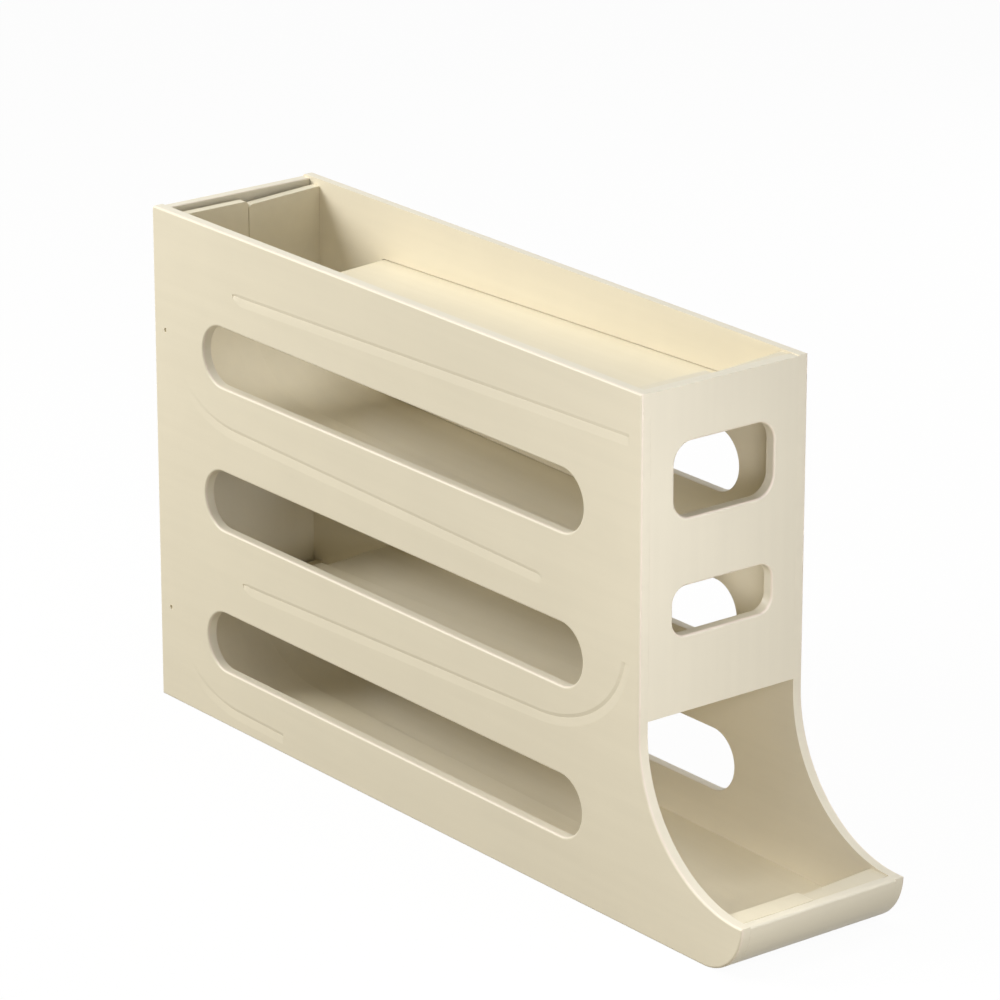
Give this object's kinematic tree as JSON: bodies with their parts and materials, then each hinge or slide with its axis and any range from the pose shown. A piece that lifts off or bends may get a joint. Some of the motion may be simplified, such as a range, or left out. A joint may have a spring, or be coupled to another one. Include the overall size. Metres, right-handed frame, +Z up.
{
  "type": "rolling egg dispenser",
  "caption": "Tall narrow egg dispenser: gravity-fed sloping tracks zigzag between slotted side panels, from an open top down to a low lip where eggs are picked up.",
  "frame": {"origin": "centre of the underside, on the surface that the dispenser stands on", "axes": "+Z up, -Y towards the dispensing lip, +X to the right-hand side panel as seen from the lip's end"},
  "size_m": [0.0822, 0.3816, 0.218],
  "materials": {
    "left_side_panel": "satin moulded, cream",
    "right_side_panel": "satin moulded, cream",
    "front_panel": "satin moulded, cream",
    "back_panel": "satin moulded, cream",
    "base_tray": "satin moulded, cream",
    "top_track_left": "satin moulded, cream",
    "top_track_right": "satin moulded, cream",
    "second_track_left": "satin moulded, cream",
    "second_track_right": "satin moulded, cream",
    "third_track_left": "satin moulded, cream",
    "third_track_right": "satin moulded, cream",
    "bottom_track_left": "satin moulded, cream",
    "bottom_track_right": "satin moulded, cream"
  },
  "bodies": {
    "root": {"left_side_panel": "left_side_panel", "right_side_panel": "right_side_panel", "front_panel": "front_panel", "back_panel": "back_panel", "base_tray": "base_tray", "top_track_left": "top_track_left", "top_track_right": "top_track_right", "second_track_left": "second_track_left", "second_track_right": "second_track_right", "third_track_left": "third_track_left", "third_track_right": "third_track_right", "bottom_track_left": "bottom_track_left", "bottom_track_right": "bottom_track_right"}
  },
  "joints": []
}
